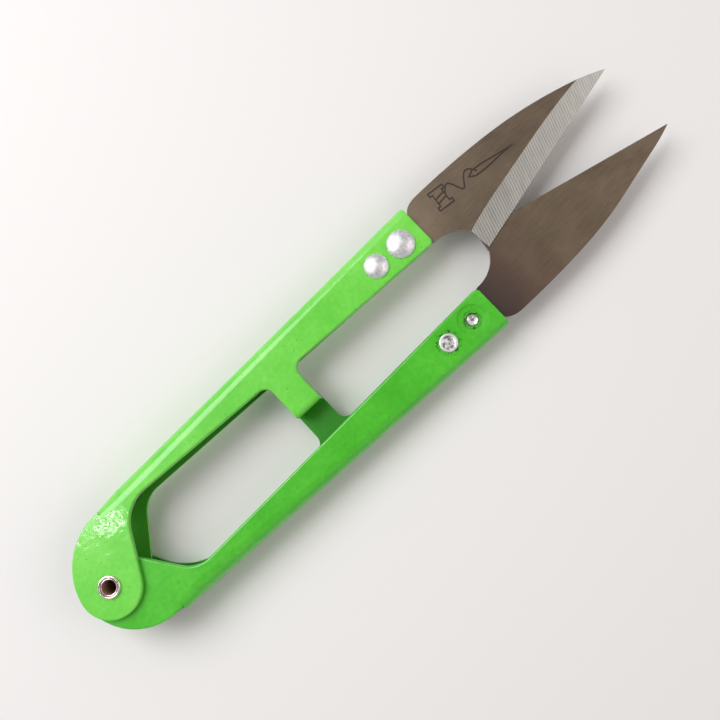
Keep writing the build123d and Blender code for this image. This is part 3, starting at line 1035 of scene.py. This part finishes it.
def swept(name: str, line: list[Vector], radius: float, sides: int) -> bpy.types.Object:
    """Round wire along a line, closed at both ends.

    Args:
        name: Name of the piece.
        line: Middle of the wire, in millimetres.
        radius: Radius of the wire, in millimetres.
        sides: Number of facets round the wire.

    Returns:
        The new object, smooth-shaded.
    """
    points: list[Vector] = []
    across = Vector((0.0, 0.0, 1.0))
    for index, middle in enumerate(line):
        ahead = line[min(index + 1, len(line) - 1)] - line[max(index - 1, 0)]
        ahead.normalize()
        across = (across - ahead * across.dot(ahead)).normalized()
        side = ahead.cross(across)
        for step in range(sides):
            angle = 2 * math.pi * step / sides
            spoke = across * math.cos(angle) + side * math.sin(angle)
            points.append((middle + radius * spoke) * MM)
    last = len(points) - sides
    faces: list[tuple[int, ...]] = [tuple(range(sides)), tuple(range(last, len(points)))]
    for index in range(len(line) - 1):
        for step in range(sides):
            after = (step + 1) % sides
            low, high = index * sides, (index + 1) * sides
            faces.append((low + step, low + after, high + after, high + step))
    return new_piece(name, points, faces)


@dataclass
class Handle:
    """Folded and enamelled handle of one half."""

    half: Half

    def build(
        self, nodes: Mapping[str, bpy.types.Object], enamel: bpy.types.Material
    ) -> bpy.types.Object:
        """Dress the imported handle.

        Args:
            nodes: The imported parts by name.
            enamel: Finish of the handle.

        Returns:
            The handle.
        """
        piece = nodes[self.half.node("handle")]
        dress(piece, enamel)
        return piece


@dataclass
class Blade:
    """Ground blade of one half."""

    half: Half

    def build(
        self, nodes: Mapping[str, bpy.types.Object], steel: bpy.types.Material
    ) -> bpy.types.Object:
        """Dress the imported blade.

        Args:
            nodes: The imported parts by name.
            steel: Finish of the blade.

        Returns:
            The blade.
        """
        piece = nodes[self.half.node("blade")]
        dress(piece, steel)
        return piece


@dataclass(frozen=True)
class SoftLight:
    """One soft light: its name, place, level side and other side, power and sRGB colour."""

    name: str
    place_mm: Triple
    size_mm: Point
    watts: float
    colour_hex: str = "#FFFFFF"

    def hang(self, aim_mm: Sequence[float]) -> None:
        """Hang the light so that it faces a point.

        Args:
            aim_mm: The point.
        """
        data = bpy.data.lights.new(self.name, "AREA")
        data.shape = "RECTANGLE"
        data.size, data.size_y = (side * MM for side in self.size_mm)
        data.energy = self.watts
        data.color = linear(self.colour_hex)[:3]
        light = bpy.data.objects.new(self.name, data)
        light.location = Vector(self.place_mm) * MM
        toward = Vector(aim_mm) * MM - light.location
        light.rotation_euler = toward.to_track_quat("-Z", "Y").to_euler()
        bpy.context.scene.collection.objects.link(light)


@dataclass
class Studio:
    """Pale floor, bright room, soft lights and the camera."""

    camera_mm: Triple = (51.565, -14.586, 140.677)
    aim_mm: Triple = (52.859, -0.574, 0.0)
    roll_deg: float = -43.3
    lens_mm: float = 43.85
    floor_half_mm: float = 900.0
    floor_hex: str = "#E8E6E5"
    wall_hex: str = "#F4F5F8"
    ceiling_hex: str = "#716151"
    ceiling_from: Span = (0.72, 0.96)
    room_strength: float = 0.55
    lights: tuple[SoftLight, ...] = (
        SoftLight("window", (-60.0, 245.0, 330.0), (300.0, 300.0), 1.55),
        SoftLight("skylight", (-103.0, 62.0, 334.0), (3.6, 15.0), 0.013),
        SoftLight("fill", (300.0, -200.0, 300.0), (300.0, 300.0), 0.4, "#FFF4EC"),
    )

    def build(self, floor_z: float) -> None:
        """Lay the floor, light the room, hang the lights and set the camera.

        Args:
            floor_z: Height of the floor, in metres.
        """
        self.lay_floor(floor_z)
        self.light_room()
        for light in self.lights:
            light.hang(self.aim_mm)
        self.set_camera()

    def lay_floor(self, floor_z: float) -> None:
        """Lay a plain pale board, matt so that only a soft shadow falls on it.

        Args:
            floor_z: Height of the floor, in metres.
        """
        half = self.floor_half_mm * MM
        corners = ((-half, -half), (half, -half), (half, half), (-half, half))
        mesh = bpy.data.meshes.new("floor")
        mesh.from_pydata([(x, y, floor_z) for x, y in corners], [], [(0, 1, 2, 3)])
        floor = bpy.data.objects.new("floor", mesh)
        bpy.context.scene.collection.objects.link(floor)
        board = Finish.start("pale_matt_board", Roughness=0.8, Base_Color=linear(self.floor_hex))
        dress(floor, board.material)
        floor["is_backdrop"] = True

    def light_room(self) -> None:
        """Set the room's own light and the plain view that keeps its colours."""
        world = bpy.data.worlds.new("studio")
        world.use_nodes = True
        tree = world.node_tree
        # Bright walls and a dim ceiling: steel that lies flat reads dark, domes read white.
        way = add_node(tree, "TexCoord").outputs["Generated"]
        rise = add_node(tree, "SeparateXYZ", {0: way}).outputs["Z"]
        tones = (linear(self.wall_hex), linear(self.ceiling_hex))
        room = add_node(tree, "ValToRGB", {0: rise}, stops=zip(self.ceiling_from, tones))
        backdrop = tree.nodes["Background"]
        tree.links.new(room.outputs["Color"], backdrop.inputs["Color"])
        backdrop.inputs["Strength"].default_value = self.room_strength
        bpy.context.scene.world = world
        bpy.context.scene.view_settings.view_transform = "Standard"

    def set_camera(self) -> None:
        """Place the camera almost straight above, rolled so that the tips point up and right."""
        data = bpy.data.cameras.new("camera")
        data.lens = self.lens_mm
        camera = bpy.data.objects.new("camera", data)
        place = Vector(self.camera_mm) * MM
        forward = (Vector(self.aim_mm) * MM - place).normalized()
        side = forward.cross(Vector((0.0, 1.0, 0.0))).normalized()
        level = Matrix((side, side.cross(forward), -forward)).transposed()
        rolled = level @ Matrix.Rotation(math.radians(self.roll_deg), 3, "Z")
        camera.matrix_world = Matrix.Translation(place) @ rolled.to_4x4()
        bpy.context.scene.collection.objects.link(camera)
        bpy.context.scene.camera = camera


def build_half(
    half: Half, nodes: Mapping[str, bpy.types.Object], enamel: bpy.types.Material,
    metal: bpy.types.Material,
) -> list[bpy.types.Object]:
    """Build and dress everything that is riveted together in one half.

    Args:
        half: Which half.
        nodes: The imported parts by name.
        enamel: Finish of the handle.
        metal: Finish of the rivets.

    Returns:
        The half's pieces.
    """
    front = Rivet(half, "front", FRONT_RIVET_MM, head_r=2.35, head_h=1.05, tail=front_tail())
    rear = Rivet(half, "rear", REAR_RIVET_MM, head_r=2.05, head_h=0.95, tail=rear_tail())
    return [
        Handle(half).build(nodes, enamel),
        Blade(half).build(nodes, GroundSteel(half).build()),
        front.build(metal),
        rear.build(metal),
    ]


def main() -> None:
    """Load the frame, build every piece and set up the studio."""
    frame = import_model()
    cad_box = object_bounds()
    nodes = frame["nodes"]
    # The two halves share one green, painted paler on the upper half and deeper on the lower:
    # painted light and shade.
    upper_enamel_painted_lit = LimeEnamel(
        Half.UPPER, body_hex="#6ED346", deep_hex="#62CB3B", pale_hex="#7CDB52")
    lower_enamel_painted_shade = LimeEnamel(
        Half.LOWER, body_hex="#49B828", deep_hex="#40AF20", pale_hex="#54C232")
    front_tail_mm = (FRONT_RIVET_MM[0], -FRONT_RIVET_MM[1])
    rear_tail_mm = (REAR_RIVET_MM[0], -REAR_RIVET_MM[1])
    chips = (Chip(rear_tail_mm, hole_r_mm=1.9), Chip(front_tail_mm, hole_r_mm=1.35))
    metal = SatinAluminium().build()
    pieces = build_half(Half.UPPER, nodes, upper_enamel_painted_lit.build(), metal)
    pieces += build_half(
        Half.LOWER, nodes, lower_enamel_painted_shade.build(chips, sunk_at_mm=front_tail_mm), metal)
    pieces.append(Eyelet().build(NickelPlate().build()))
    pieces.append(Spring().build(SpringWire().build()))
    for piece in pieces:
        finish = piece.data.materials[0].name
        LOG.info("%s: %d faces, %s", piece.name, len(piece.data.polygons), finish)
    Studio().build(cad_box[0].z)


if __name__ == "__main__":
    logging.basicConfig(level=logging.INFO, format="%(name)s: %(message)s")
    main()
